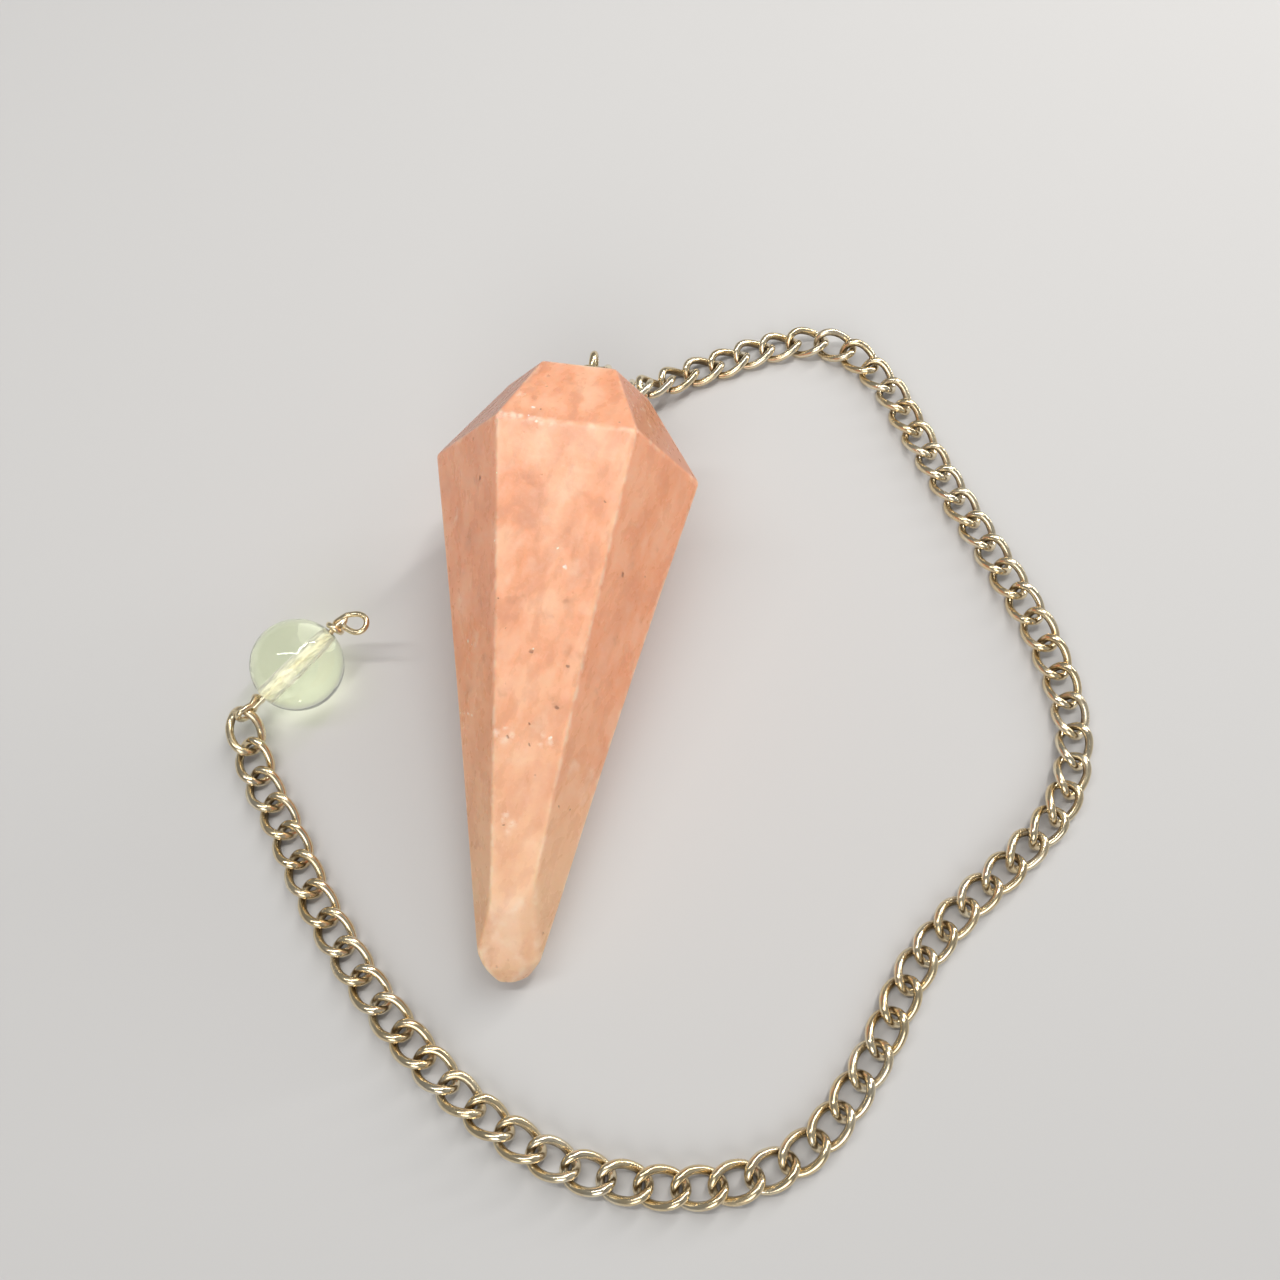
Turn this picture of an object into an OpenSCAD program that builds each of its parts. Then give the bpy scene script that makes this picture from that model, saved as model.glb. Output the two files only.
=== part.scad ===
// Dowsing pendulum: a six-sided cut stone lying on one long facet, a wire eye in its crown,
// a curb chain laid round it and a round glass bead on a wire with a wrapped loop at each end.
// The origin is the middle of the facet the stone lies on; the crown points along +Y, +Z is up.

/* [Stone] */
// Width of the stone over opposite corners, at its shoulder
stone_width = 18; // [14:0.1:24]
// Length of the stone along its axis, from the table to the blunt point
stone_length = 38.5; // [32:0.1:48]
// Height of the crown, from the shoulder to the table
crown_height = 5.7; // [4:0.1:7]
// Depth of the bore below the table
bore_depth = 5; // [3:0.1:8]
// Gap between the bore's wall and the eye pin, all round
pin_clearance = 0.1; // [0.05:0.01:0.25]
// Sideways place of the bore, off the middle of the table
bore_offset = 0.7; // [-1.5:0.1:1.5]

/* [Eye pin] */
// Wire of the eye pin
pin_wire = 0.5; // [0.4:0.05:0.8]
// Outer width of the eye
eye_width = 2.3; // [1.9:0.05:3.2]
// Straight shank that shows between the table and the eye
pin_neck = 0.9; // [0.5:0.1:2]

/* [Chain] */
// Outer length of a link
link_length = 3.28; // [3:0.02:4]
// Outer width of a link
link_width = 2.41; // [2.2:0.01:2.8]
// Wire of the links
link_wire = 0.48; // [0.4:0.01:0.5]
// Play between neighbouring links when the chain is drawn out
link_play = 0.18; // [0.15:0.01:0.3]
// Roundness of a link's outline, from 1 for an ellipse down to 0.7 for nearly straight sides
link_round = 0.8; // [0.7:0.05:1]
// Turn of one end of a link against the other, in degrees
link_twist = 90; // [70:1:100]
// Extent of the laid chain, as a multiple of the stone's length
chain_spread = 1.56; // [1.5:0.01:2.2]

/* [Bead] */
// Diameter of the glass bead
bead_size = 6; // [5:0.1:8]
// Bore through the bead
bead_bore = 0.9; // [0.7:0.05:1.4]
// Wire through the bead
bead_wire_size = 0.36; // [0.3:0.01:0.45]
// Gap between the wrapped turns, the neck they go round and the bead
wrap_play = 0.08; // [0.05:0.01:0.15]
// Turns of wire wrapped round the neck of the free loop
free_wraps = 1; // [0.5:0.25:3]
// Outer length of the free loop
free_length = 2.15; // [1.6:0.05:3]
// Outer width of the free loop
free_width = 1.4; // [1.3:0.05:2.2]
// Sideways bend of the free loop, in degrees
free_bend = 58; // [0:1:60]
// Turns of wire wrapped round the neck of the loop that holds the chain
held_wraps = 0.5; // [0.5:0.25:3]
// Outer length of the loop that holds the chain
held_length = 1.75; // [1.6:0.05:3]
// Outer width of the loop that holds the chain
held_width = 1.6; // [1.4:0.05:2.2]
// Roll of that loop about the bead's wire, in degrees
held_roll = 95; // [85:1:110]
// Direction of the bead's wire, seen from above, from +X
bead_heading = 49; // [42:1:56]
// Rise of the bead's wire towards the free loop
bead_rise = 15; // [10:1:20]

/* [Hidden] */

// Facets round the stone: direction from the axis, then reach at the table, at the shoulder, at the
// start of the point and at its end, as shares of the half width over flats, and how far down the
// body the point starts, as a share. The first row is the facet that the stone lies on.
AROUND = 0;
TABLE_REACH = 1;
SHOULDER_REACH = 2;
POINT_REACH = 3;
TIP_REACH = 4;
POINT_START = 5;
facets = [
    [90, 0.55, 1.00, 0.31, 0.04, 0.92],
    [27, 0.51, 0.96, 0.21, 0.12, 0.975],
    [-29, 0.545, 0.985, 0.22, 0.09, 0.96],
    [-87, 0.55, 1.01, 0.34, -0.04, 0.86],
    [-146, 0.54, 0.99, 0.24, 0.06, 0.945],
    [-206, 0.495, 0.95, 0.13, 0.04, 0.965],
];

// The chain's route over the surface, seen from above, in hundredths of its extent
route_points = [
    [12.7, 47.6], [15.8, 49.3], [20.6, 51.9], [26.5, 53.6], [32.3, 51.9], [36.5, 47.6],
    [39.3, 42.5], [43.1, 35.6], [49.6, 24.1], [55.1, 13.2], [57.6, 3.2], [55.9, -4.8],
    [51.4, -11], [45.5, -17.3], [40.6, -24], [36.5, -33.3], [30.6, -42], [21.3, -46.3],
    [9.5, -46.1], [-1, -41.8], [-11, -34.1], [-19.8, -24.5], [-26.1, -15.5],
];

// Where the bead rests, on the same scale
bead_place = [-27, 0.7];

// Roll of the links about the chain, in degrees, against the share of the chain's length
link_rolls = [
    [0, -72], [0.1, 0], [0.15, 0], [0.175, 30], [0.2, 0], [0.3, 0], [0.36, 26], [0.42, 0],
    [0.47, -24], [0.53, 0], [0.73, 0], [0.79, 26], [0.84, 0], [1, 0],
];

// The chain's fall from the eye: lean from level at the eye, steps, and the way it first runs out
fall_lean = 70;
fall_steps = 6;
fall_way = [2, 3.6];

// Foot of the chain's rise to the bead's loop, from the loop's far end, seen from above
rise_foot = [1.8, -3.6];

// How far the eye's carrying point lies beyond straight down, in degrees
hang_angle = 20;

// Corners round a swept wire, stations round one link and round one turn of a wrap, angles of a
// bead loop's outline from its neck back to its neck, and steps between two points of the route
wire_sides = 6;
link_stations = 12;
wrap_stations = 12;
loop_outline = [40 : 20 : 320];
route_steps = 12;

// Facets round the bead and its bore, and round the eye pin's wire
$fn = 64;
pin_facets = 24;

// Greatest value of sin(u) * sin(u / 2), the half width of a loop's outline
drop_width = 0.77;

// Length of a cut past the face that it opens
cut_margin = 1;

// Half width of the stone over flats at its shoulder, and its size and lean below that
flat_reach = stone_width / 2 * cos(30);
body_length = stone_length - crown_height;
blank_size = 3 * stone_length;
rest_facet = facets[0];
rest_start = body_length * rest_facet[POINT_START];
rest_lean = atan(
    flat_reach * (rest_facet[SHOULDER_REACH] - rest_facet[POINT_REACH]) / rest_start
);
rest_half = rest_start / cos(rest_lean) / 2;

function unit(v) = v / norm(v);

// Catmull-Rom curve through the list p, between p[i] and p[i + 1] at share u
function curve_point(p, i, u) =
    let (a = p[max(i - 1, 0)], b = p[i], c = p[i + 1], d = p[min(i + 2, len(p) - 1)])
    b + u * ((c - a) + u * ((2 * a - 5 * b + 4 * c - d) + u * (3 * b - a - 3 * c + d))) / 2;

function curve(p, steps) = [
    for (i = [0 : len(p) - 2], k = [0 : steps - 1]) curve_point(p, i, k / steps),
    p[len(p) - 1]
];

// Distance run along a list of points, one value a point
function runs(p) = [
    for (
        i = 0, s = 0;
        i < len(p);
        s = s + (i + 1 < len(p) ? norm(p[i + 1] - p[i]) : 0), i = i + 1
    ) s
];

// One ring of a wire's section round a centre, across the direction along
function section(centre, along, up, wire) =
    let (t = unit(along), n = unit(up - (up * t) * t), b = cross(t, n))
    [
        for (k = [0 : wire_sides - 1])
            let (angle = 360 * k / wire_sides)
            centre + wire / 2 * (cos(angle) * n + sin(angle) * b)
    ];

// Triangles between ring j and the next ring of a swept wire whose points start at index first
function band(first, j, next) = [
    for (k = [0 : wire_sides - 1])
        let (
            m = (k + 1) % wire_sides,
            a = first + j * wire_sides,
            b = first + next * wire_sides
        )
        each [[a + k, b + k, b + m], [a + k, b + m, a + m]]
];

// The stone's own frame, with its axis along +Z and its shoulder at z = 0, laid on its rest facet
module lay_stone() {
    translate([0, rest_half - flat_reach * sin(rest_lean), flat_reach * cos(rest_lean)])
        rotate([rest_lean - 90, 0, 0])
            children();
}

// Profile of one facet as [reach, height] points, from the tip up to the table
function profile(f) = [
    [flat_reach * f[TIP_REACH], -body_length],
    [flat_reach * f[POINT_REACH], -body_length * f[POINT_START]],
    [flat_reach * f[SHOULDER_REACH], 0],
    [flat_reach * f[TABLE_REACH], crown_height]
];

// Everything beyond the plane that faces around and passes through profile points low and high
module beyond(around, low, high) {
    rotate([0, 0, around])
        translate([low.x, 0, low.y])
            rotate([0, atan2(high.x - low.x, high.y - low.y), 0])
                translate([0, -blank_size / 2, -blank_size / 2])
                    cube(blank_size);
}

module stone() {
    color("#e0a184")
        lay_stone()
            difference() {
                translate([0, 0, -body_length])
                    cylinder(h = stone_length, d = 2 * stone_width, $fn = 6);
                for (f = facets, k = [0 : 2])
                    beyond(f[AROUND], profile(f)[k], profile(f)[k + 1]);
                translate([bore_offset, 0, crown_height - bore_depth])
                    cylinder(h = bore_depth + cut_margin, d = pin_wire + 2 * pin_clearance);
            }
}

// Radius of the eye's centreline, and the height of its centre over the shoulder
eye_radius = (eye_width - pin_wire) / 2;
eye_height = crown_height + pin_neck + eye_width / 2;

module eye_pin() {
    shank = bore_depth - pin_clearance + pin_neck + pin_wire / 2;
    color("#b9975c")
        lay_stone()
            translate([bore_offset, 0, eye_height]) {
                rotate([0, 90, 0])
                    rotate_extrude()
                        translate([eye_radius, 0])
                            circle(d = pin_wire, $fn = pin_facets);
                translate([0, 0, -eye_radius - shank])
                    cylinder(h = shank, d = pin_wire, $fn = pin_facets);
            }
}

// Half of a link's centreline across and along the chain, and the step from link to link
half_width = (link_width - link_wire) / 2;
half_length = (link_length - link_wire) / 2;
link_pitch = link_length - 2 * link_wire - link_play;

// A sine or cosine v made fuller, so that the outline bulges out of its ellipse
function full(v) = sign(v) * pow(abs(v), link_round);

// How far a rolled link is turned about the chain at angle t of its outline
function link_turn(t, roll) = roll - link_twist / 2 * full(cos(t));

// Centreline of a link in its own frame at angle t, twisted along its length and rolled
function link_point(t, roll) =
    let (turn = link_turn(t, roll), side = half_width * full(sin(t)))
    [half_length * full(cos(t)), side * cos(turn), side * sin(turn)];

// Height of a rolled link's centre when it lies on the surface
function resting_height(roll) =
    max([for (j = [1 : link_stations]) link_point(360 * j / link_stations, roll).z])
    + link_wire / 2;

// Point of the eye's centreline that carries the first link
eye_hold =
    let (
        centre = [
            bore_offset,
            rest_half - flat_reach * sin(rest_lean) + eye_height * cos(rest_lean),
            flat_reach * cos(rest_lean) + eye_height * sin(rest_lean)
        ]
    )
    centre + eye_radius * [0, sin(hang_angle), -cos(hang_angle)];

// Bead's centre, and the direction of its wire towards the free loop
laid_unit = chain_spread * stone_length / 100;
bead_centre = [laid_unit * bead_place.x, laid_unit * bead_place.y, bead_size / 2];
bead_axis = [
    cos(bead_rise) * cos(bead_heading),
    cos(bead_rise) * sin(bead_heading),
    sin(bead_rise)
];

// Pitch and radius of the wraps, and where they begin along the bead's wire, clear of the bead
wrap_pitch = bead_wire_size + wrap_play;
wrap_clearance = bead_size / 2 + bead_wire_size / 2 + wrap_play;
wrap_start = sqrt(wrap_clearance * wrap_clearance - wrap_pitch * wrap_pitch);

// Far end of the loop that holds the last link
loop_far = bead_centre
    - (wrap_start + held_wraps * wrap_pitch + held_length - bead_wire_size / 2) * bead_axis;

// Distance from a wire to the point where a link that hangs on it is half a step from its centre
function hook(wire) = (wire + link_wire) / 2 + link_play - (half_length - link_pitch / 2);

// Point i of the fall, an arc in height over a bent path in plan, from the eye to the surface
fall_drop = eye_hold.z - resting_height(link_rolls[0][1]);
fall_from = [eye_hold.x, eye_hold.y];
fall_to = laid_unit * route_points[0];
function fall_point(i) =
    let (
        lean = fall_lean * (1 - i / fall_steps),
        w = 1 - sin(lean) / sin(fall_lean),
        plan = (1 - w) * (1 - w) * fall_from + 2 * w * (1 - w) * (fall_from + fall_way)
            + w * w * fall_to
    )
    [plan.x, plan.y, fall_drop * (1 - cos(lean)) / (1 - cos(fall_lean))];

// The route's line over a resting link: the fall, the surface, and an arc up to the bead's loop
rise = loop_far.z - resting_height(0);
rise_to = [loop_far.x, loop_far.y, rise];
route_keys = concat(
    [for (i = [1 : fall_steps - 1]) fall_point(i)],
    [for (p = route_points) [laid_unit * p.x, laid_unit * p.y, 0]],
    [
        rise_to + [rise_foot.x, rise_foot.y, -rise],
        rise_to + [rise_foot.x / 2, rise_foot.y / 2, -rise * 3 / 4]
    ]
);
first_way = unit(route_keys[0] - fall_point(0));
last_way = unit(rise_to - route_keys[len(route_keys) - 1]);
route = curve(
    concat(
        [fall_point(0) - hook(pin_wire) * first_way],
        route_keys,
        [rise_to + hook(bead_wire_size) * last_way]
    ),
    route_steps
);
route_runs = runs(route);
route_length = route_runs[len(route) - 1];
link_count = ceil(route_length / link_pitch);
link_step = route_length / link_count;
route_tables = [
    for (axis = [0 : 2]) [for (i = [0 : len(route) - 1]) [route_runs[i], route[i][axis]]]
];

function roll_at(s) = lookup(s / route_length, link_rolls);

// Point of the chain's line at distance s, never lower than a link rests there
function route_at(s) =
    let (p = [for (axis = [0 : 2]) lookup(s, route_tables[axis])])
    [p.x, p.y, max(p.z, 0) + resting_height(roll_at(s))];

// Rings of one link, at distance s along the chain
function link_rings(s) =
    let (
        centre = route_at(s),
        x = unit(route_at(s + link_step / 2) - route_at(s - link_step / 2)),
        y = unit(cross([0, 0, 1], x)),
        z = cross(x, y),
        roll = roll_at(s),
        part = 360 / link_stations
    )
    [
        for (j = [0 : link_stations - 1])
            let (
                t = j * part,
                turn = link_turn(t, roll),
                p = link_point(t, roll),
                d = link_point(t + part, roll) - link_point(t - part, roll),
                at = centre + p.x * x + p.y * y + p.z * z,
                along = d.x * x + d.y * y + d.z * z
            )
            each section(at, along, cos(turn) * z - sin(turn) * y, link_wire)
    ];

module chain() {
    points = [for (i = [0 : link_count - 1]) each link_rings((i + 0.5) * link_step)];
    faces = [
        for (i = [0 : link_count - 1], j = [0 : link_stations - 1])
            each band(i * link_stations * wire_sides, j, (j + 1) % link_stations)
    ];
    color("#c9ac74") polyhedron(points, faces);
}

// The frame of the bead's wire: origin at the bead's centre, +X towards the free loop
module lay_bead() {
    translate(bead_centre)
        rotate([0, -bead_rise, bead_heading])
            children();
}

module bead() {
    color("#b9c9a8")
        lay_bead()
            rotate([0, 90, 0])
                difference() {
                    sphere(d = bead_size);
                    cylinder(h = bead_size + cut_margin, d = bead_bore, center = true);
                }
}

// Half of the bead's wire in its own frame, from the cut end of the wrap, round the loop and back
// to the neck; the loop is bent sideways by bend degrees and rolled about the wire by roll
function wrapped_loop(size, wraps, bend, roll) =
    let (
        radius = bead_wire_size + wrap_play,
        part = 360 / wrap_stations,
        neck = wrap_start + wraps * wrap_pitch,
        reach = (size.x - bead_wire_size) / 2,
        spread = (size.y - bead_wire_size) / 2 / drop_width,
        coil = [
            for (a = [0 : part : 360 * wraps - part])
                [
                    wrap_start + wrap_pitch * a / 360,
                    radius * cos(a - 360 * wraps),
                    radius * sin(a - 360 * wraps)
                ]
        ],
        eye = [
            for (u = loop_outline)
                let (
                    along = reach * (1 - cos(u)),
                    across = spread * sin(u) * sin(u / 2) + radius * (1 - u / 360)
                )
                [
                    neck + bead_wire_size / 2 + along * cos(bend) + across * sin(bend),
                    across * cos(bend) - along * sin(bend),
                    0
                ]
        ]
    )
    [
        for (p = concat(coil, eye, [[neck, 0, 0]]))
            [p.x, p.y * cos(roll) - p.z * sin(roll), p.y * sin(roll) + p.z * cos(roll)]
    ];

// The vector up made square to the direction along
function carried(up, along) = unit(up - (up * along) * along);

// Direction of a path at its point i, and a side of the wire carried along the path
function path_way(p, i) = unit(p[min(i + 1, len(p) - 1)] - p[max(i - 1, 0)]);
function path_ups(p) = [
    for (
        i = 0, up = carried([1, 0, 0], path_way(p, 0));
        i < len(p);
        i = i + 1, up = i < len(p) ? carried(up, path_way(p, i)) : up
    ) up
];

module bead_wire() {
    free_half = wrapped_loop([free_length, free_width], free_wraps, free_bend, 0);
    held_half = [
        for (p = wrapped_loop([held_length, held_width], held_wraps, 0, held_roll))
            [-p.x, p.y, p.z]
    ];
    keys = concat(free_half, [for (i = [len(held_half) - 1 : -1 : 0]) held_half[i]]);
    ups = path_ups(keys);
    last = len(keys) - 1;
    points = [
        for (i = [0 : last]) each section(keys[i], path_way(keys, i), ups[i], bead_wire_size)
    ];
    end = last * wire_sides;
    faces = [
        for (j = [0 : last - 1]) each band(0, j, j + 1),
        for (k = [1 : wire_sides - 2]) [0, k, k + 1],
        for (k = [1 : wire_sides - 2]) [end, end + k + 1, end + k]
    ];
    color("#c2a468")
        lay_bead()
            polyhedron(points, faces);
}

stone();
eye_pin();
chain();
bead();
bead_wire();
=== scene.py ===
import math

import bpy
import numpy as np
from mathutils import Matrix, Vector


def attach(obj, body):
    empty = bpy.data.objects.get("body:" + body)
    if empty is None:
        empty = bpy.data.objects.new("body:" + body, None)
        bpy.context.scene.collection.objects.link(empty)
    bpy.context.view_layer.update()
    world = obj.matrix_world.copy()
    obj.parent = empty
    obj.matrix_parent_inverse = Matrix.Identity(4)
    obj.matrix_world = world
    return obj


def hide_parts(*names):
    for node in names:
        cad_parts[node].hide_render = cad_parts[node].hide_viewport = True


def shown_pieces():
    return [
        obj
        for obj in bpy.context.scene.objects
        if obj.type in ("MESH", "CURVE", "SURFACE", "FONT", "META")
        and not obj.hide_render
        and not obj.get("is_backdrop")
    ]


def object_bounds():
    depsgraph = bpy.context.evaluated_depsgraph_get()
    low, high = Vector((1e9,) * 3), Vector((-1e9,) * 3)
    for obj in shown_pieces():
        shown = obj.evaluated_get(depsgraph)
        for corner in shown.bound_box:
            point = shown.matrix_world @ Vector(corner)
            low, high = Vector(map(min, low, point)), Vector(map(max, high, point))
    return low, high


# Dowsing pendulum: the looks of its stone, eye, chain, glass bead and bead wire.
# Lengths in the dictionaries are millimetres, apart from the studio's; meshes are made in metres.
# Colours are linear red, green and blue.
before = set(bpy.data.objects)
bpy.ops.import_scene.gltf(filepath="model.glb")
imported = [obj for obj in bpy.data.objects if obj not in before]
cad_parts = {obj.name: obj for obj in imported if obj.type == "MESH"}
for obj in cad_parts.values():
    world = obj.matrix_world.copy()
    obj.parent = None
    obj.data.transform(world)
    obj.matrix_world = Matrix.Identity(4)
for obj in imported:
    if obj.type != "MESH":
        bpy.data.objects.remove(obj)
lowCad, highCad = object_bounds()
mm = 0.001


def radians(degrees):
    return np.asarray(degrees) * math.pi / 180


def unit(v):
    # each vector along the last axis, divided by its length
    return v / np.linalg.norm(v, axis=-1, keepdims=True)


# The camera looks down at the stone from in front, as the photograph does
view = {"place": (8.79, -31.8, 78.7), "down": 64.23, "turn": 4.86, "roll": -1.24, "lens": 36, "sensor": 36,
        "pixels": 1280}


def viewTurn():
    # turned about its own line of sight, tilted up from straight down, then turned about Z
    tilt, turn, roll = (math.radians(v) for v in (90 - view["down"], view["turn"], -view["roll"]))
    return Matrix.Rotation(turn, 3, "Z") @ Matrix.Rotation(tilt, 3, "X") @ Matrix.Rotation(roll, 3, "Z")


def pixelRays(seen):
    # the direction in which the camera sees each pixel: across, down and along its own axes
    axes, half = np.array(viewTurn()), view["pixels"] / 2
    across, down = (seen[:, :2].T / half - 1) * view["sensor"] / view["lens"] / 2
    return across[:, None] * axes[:, 0] - down[:, None] * axes[:, 1] - axes[:, 2]


def makeCamera():
    data = bpy.data.cameras.new("camera")
    data.lens, data.sensor_width = view["lens"], view["sensor"]
    data.clip_start, data.clip_end = 0.001, 10
    camera = bpy.data.objects.new("camera", data)
    bpy.context.scene.collection.objects.link(camera)
    camera.location = [x * mm for x in view["place"]]
    camera.rotation_mode = "QUATERNION"
    camera.rotation_quaternion = viewTurn().to_quaternion()
    bpy.context.scene.camera = camera


makeCamera()
print("camera placed")


class Sock:
    # one output of a shader node; arithmetic on it adds Math nodes to the same material
    def __init__(self, paint, socket):
        self.paint, self.socket = paint, socket

    def math(self, operation, first, second):
        return self.paint.add("ShaderNodeMath", {"operation": operation}, {0: first, 1: second})

    def __add__(self, other):
        return self.math("ADD", self, other)

    def __radd__(self, other):
        return self.math("ADD", other, self)

    def __sub__(self, other):
        return self.math("SUBTRACT", self, other)

    def __rsub__(self, other):
        return self.math("SUBTRACT", other, self)

    def __mul__(self, other):
        return self.math("MULTIPLY", self, other)

    def __rmul__(self, other):
        return self.math("MULTIPLY", other, self)

    def held(self, low=0.0, high=1.0):
        # kept between low and high
        return self.math("MINIMUM", self.math("MAXIMUM", self, low), high)

    def step(self, low, high):
        # 0 at low, 1 at high, smooth between
        return self.paint.add("ShaderNodeMapRange", {"interpolation_type": "SMOOTHSTEP"},
                              {"Value": self, "From Min": low, "From Max": high}, "Result")


class Paint:
    # a material and its node tree
    def __init__(self, name):
        self.material = bpy.data.materials.new(name)
        self.material.use_nodes = True
        self.tree = self.material.node_tree
        self.shader = self.tree.nodes["Principled BSDF"]

    def put(self, node, values):
        # each of the node's sockets gets its value or its link
        for key, value in values.items():
            if isinstance(value, Sock):
                self.tree.links.new(value.socket, node.inputs[key])
            else:
                node.inputs[key].default_value = value

    def add(self, kind, settings={}, values={}, out=0):
        # a node of that kind with its settings, then its sockets' values or links; gives one output
        node = self.tree.nodes.new(kind)
        for key, value in settings.items():
            setattr(node, key, value)
        self.put(node, values)
        return Sock(self, node.outputs[out])

    def place(self, stretch=(1, 1, 1), turn=0):
        # object coordinates in millimetres, turned about Z by degrees, then stretched along X, Y and Z
        at = self.add("ShaderNodeTexCoord", out="Object")
        if turn:
            at = self.add("ShaderNodeMapping", {}, {"Vector": at, "Rotation": (0, 0, math.radians(turn))})
        scale = [x / mm for x in stretch]
        return self.add("ShaderNodeVectorMath", {"operation": "MULTIPLY"}, {0: at, 1: scale})

    def warped(self, at, scale, amount):
        # places moved by (noise - 0.5) * amount along each axis
        shift = self.add("ShaderNodeTexNoise", {}, {"Vector": at, "Scale": scale, "Detail": 3.0}, "Color")
        shift = self.add("ShaderNodeVectorMath", {"operation": "SUBTRACT"}, {0: shift, 1: (0.5, 0.5, 0.5)})
        return self.add("ShaderNodeVectorMath", {"operation": "MULTIPLY_ADD"},
                        {0: shift, 1: [amount] * 3, 2: at})

    def spots(self, at, wobble, places, core=0.3):
        # 1 inside any ball (x, y, z, radius), 0 outside: the least of distance / radius, plus the wobble,
        # falls from 1 at the core to 0 at the rim
        nearest = None
        for x, y, z, radius in places:
            away = self.add("ShaderNodeVectorMath", {"operation": "DISTANCE"}, {0: at, 1: (x, y, z)}, "Value")
            share = away * (1 / radius)
            nearest = share if nearest is None else share.math("MINIMUM", share, nearest)
        return 1 - (nearest + wobble).step(core, 1.0)

    def noise(self, at, scale, detail=2.0, rough=0.5):
        # a noise around 0.5, with that many waves to a millimetre
        values = {"Vector": at, "Scale": scale, "Detail": detail, "Roughness": rough}
        return self.add("ShaderNodeTexNoise", {}, values, "Fac")

    def mix(self, share, first, second):
        # a colour between first and second, each a triple or another node's colour
        first, second = ((*c, 1) if isinstance(c, tuple) else c for c in (first, second))
        return self.add("ShaderNodeMix", {"data_type": "RGBA"}, {0: share, 6: first, 7: second}, 2)

    def mark(self, name):
        # a value that the mesh holds at its points
        return self.add("ShaderNodeAttribute", {"attribute_name": name}, {}, "Fac")

    def bump(self, height, depth):
        # the surface tilted as by a relief of height * depth, in millimetres
        return self.add("ShaderNodeBump", {}, {"Height": height, "Distance": depth * mm}, "Normal")


def meshFrom(name, points, faces, material, marks):
    # a mesh object from points in millimetres, lists of faces, and values at its points
    mesh = bpy.data.meshes.new(name)
    corners = np.concatenate([f.ravel() for f in faces]).astype(np.int32)
    sizes = np.concatenate([np.full(len(f), f.shape[1]) for f in faces])
    mesh.vertices.add(len(points))
    mesh.vertices.foreach_set("co", (points * mm).astype(np.float32).ravel())
    mesh.loops.add(len(corners))
    mesh.loops.foreach_set("vertex_index", corners)
    mesh.polygons.add(len(sizes))
    mesh.polygons.foreach_set("loop_start", (np.cumsum(sizes) - sizes).astype(np.int32))
    mesh.update(calc_edges=True)
    mesh.polygons.foreach_set("use_smooth", np.full(len(sizes), True))
    for key, values in marks.items():
        mark = mesh.attributes.new(key, "FLOAT", "POINT")
        mark.data.foreach_set("value", values.astype(np.float32).ravel())
    mesh.validate()
    mesh.update()
    mesh.materials.append(material)
    piece = bpy.data.objects.new(name, mesh)
    bpy.context.scene.collection.objects.link(piece)
    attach(piece, "root")
    return piece


def gridFaces(rows, columns, closedRows=False, first=0):
    # the quads of a grid whose columns close on themselves, and whose rows do too where asked
    i = np.arange(rows if closedRows else rows - 1)[:, None]
    j = np.arange(columns)[None, :]
    below, right = (i + 1) % rows, (j + 1) % columns
    quads = [i * columns + j, i * columns + right, below * columns + right, below * columns + j]
    return first + np.stack(np.broadcast_arrays(*quads), axis=-1).reshape(-1, 4)


def tubeFaces(rows, columns):
    # a grid of closed columns with a fan at each end; the fans' poles are the two points after the grid
    j = np.arange(columns)
    right = (j + 1) % columns
    last, pole = (rows - 1) * columns, np.full(columns, rows * columns)
    return [gridFaces(rows, columns), np.stack([pole, right, j], axis=1),
            np.stack([pole + 1, last + j, last + right], axis=1)]


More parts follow.
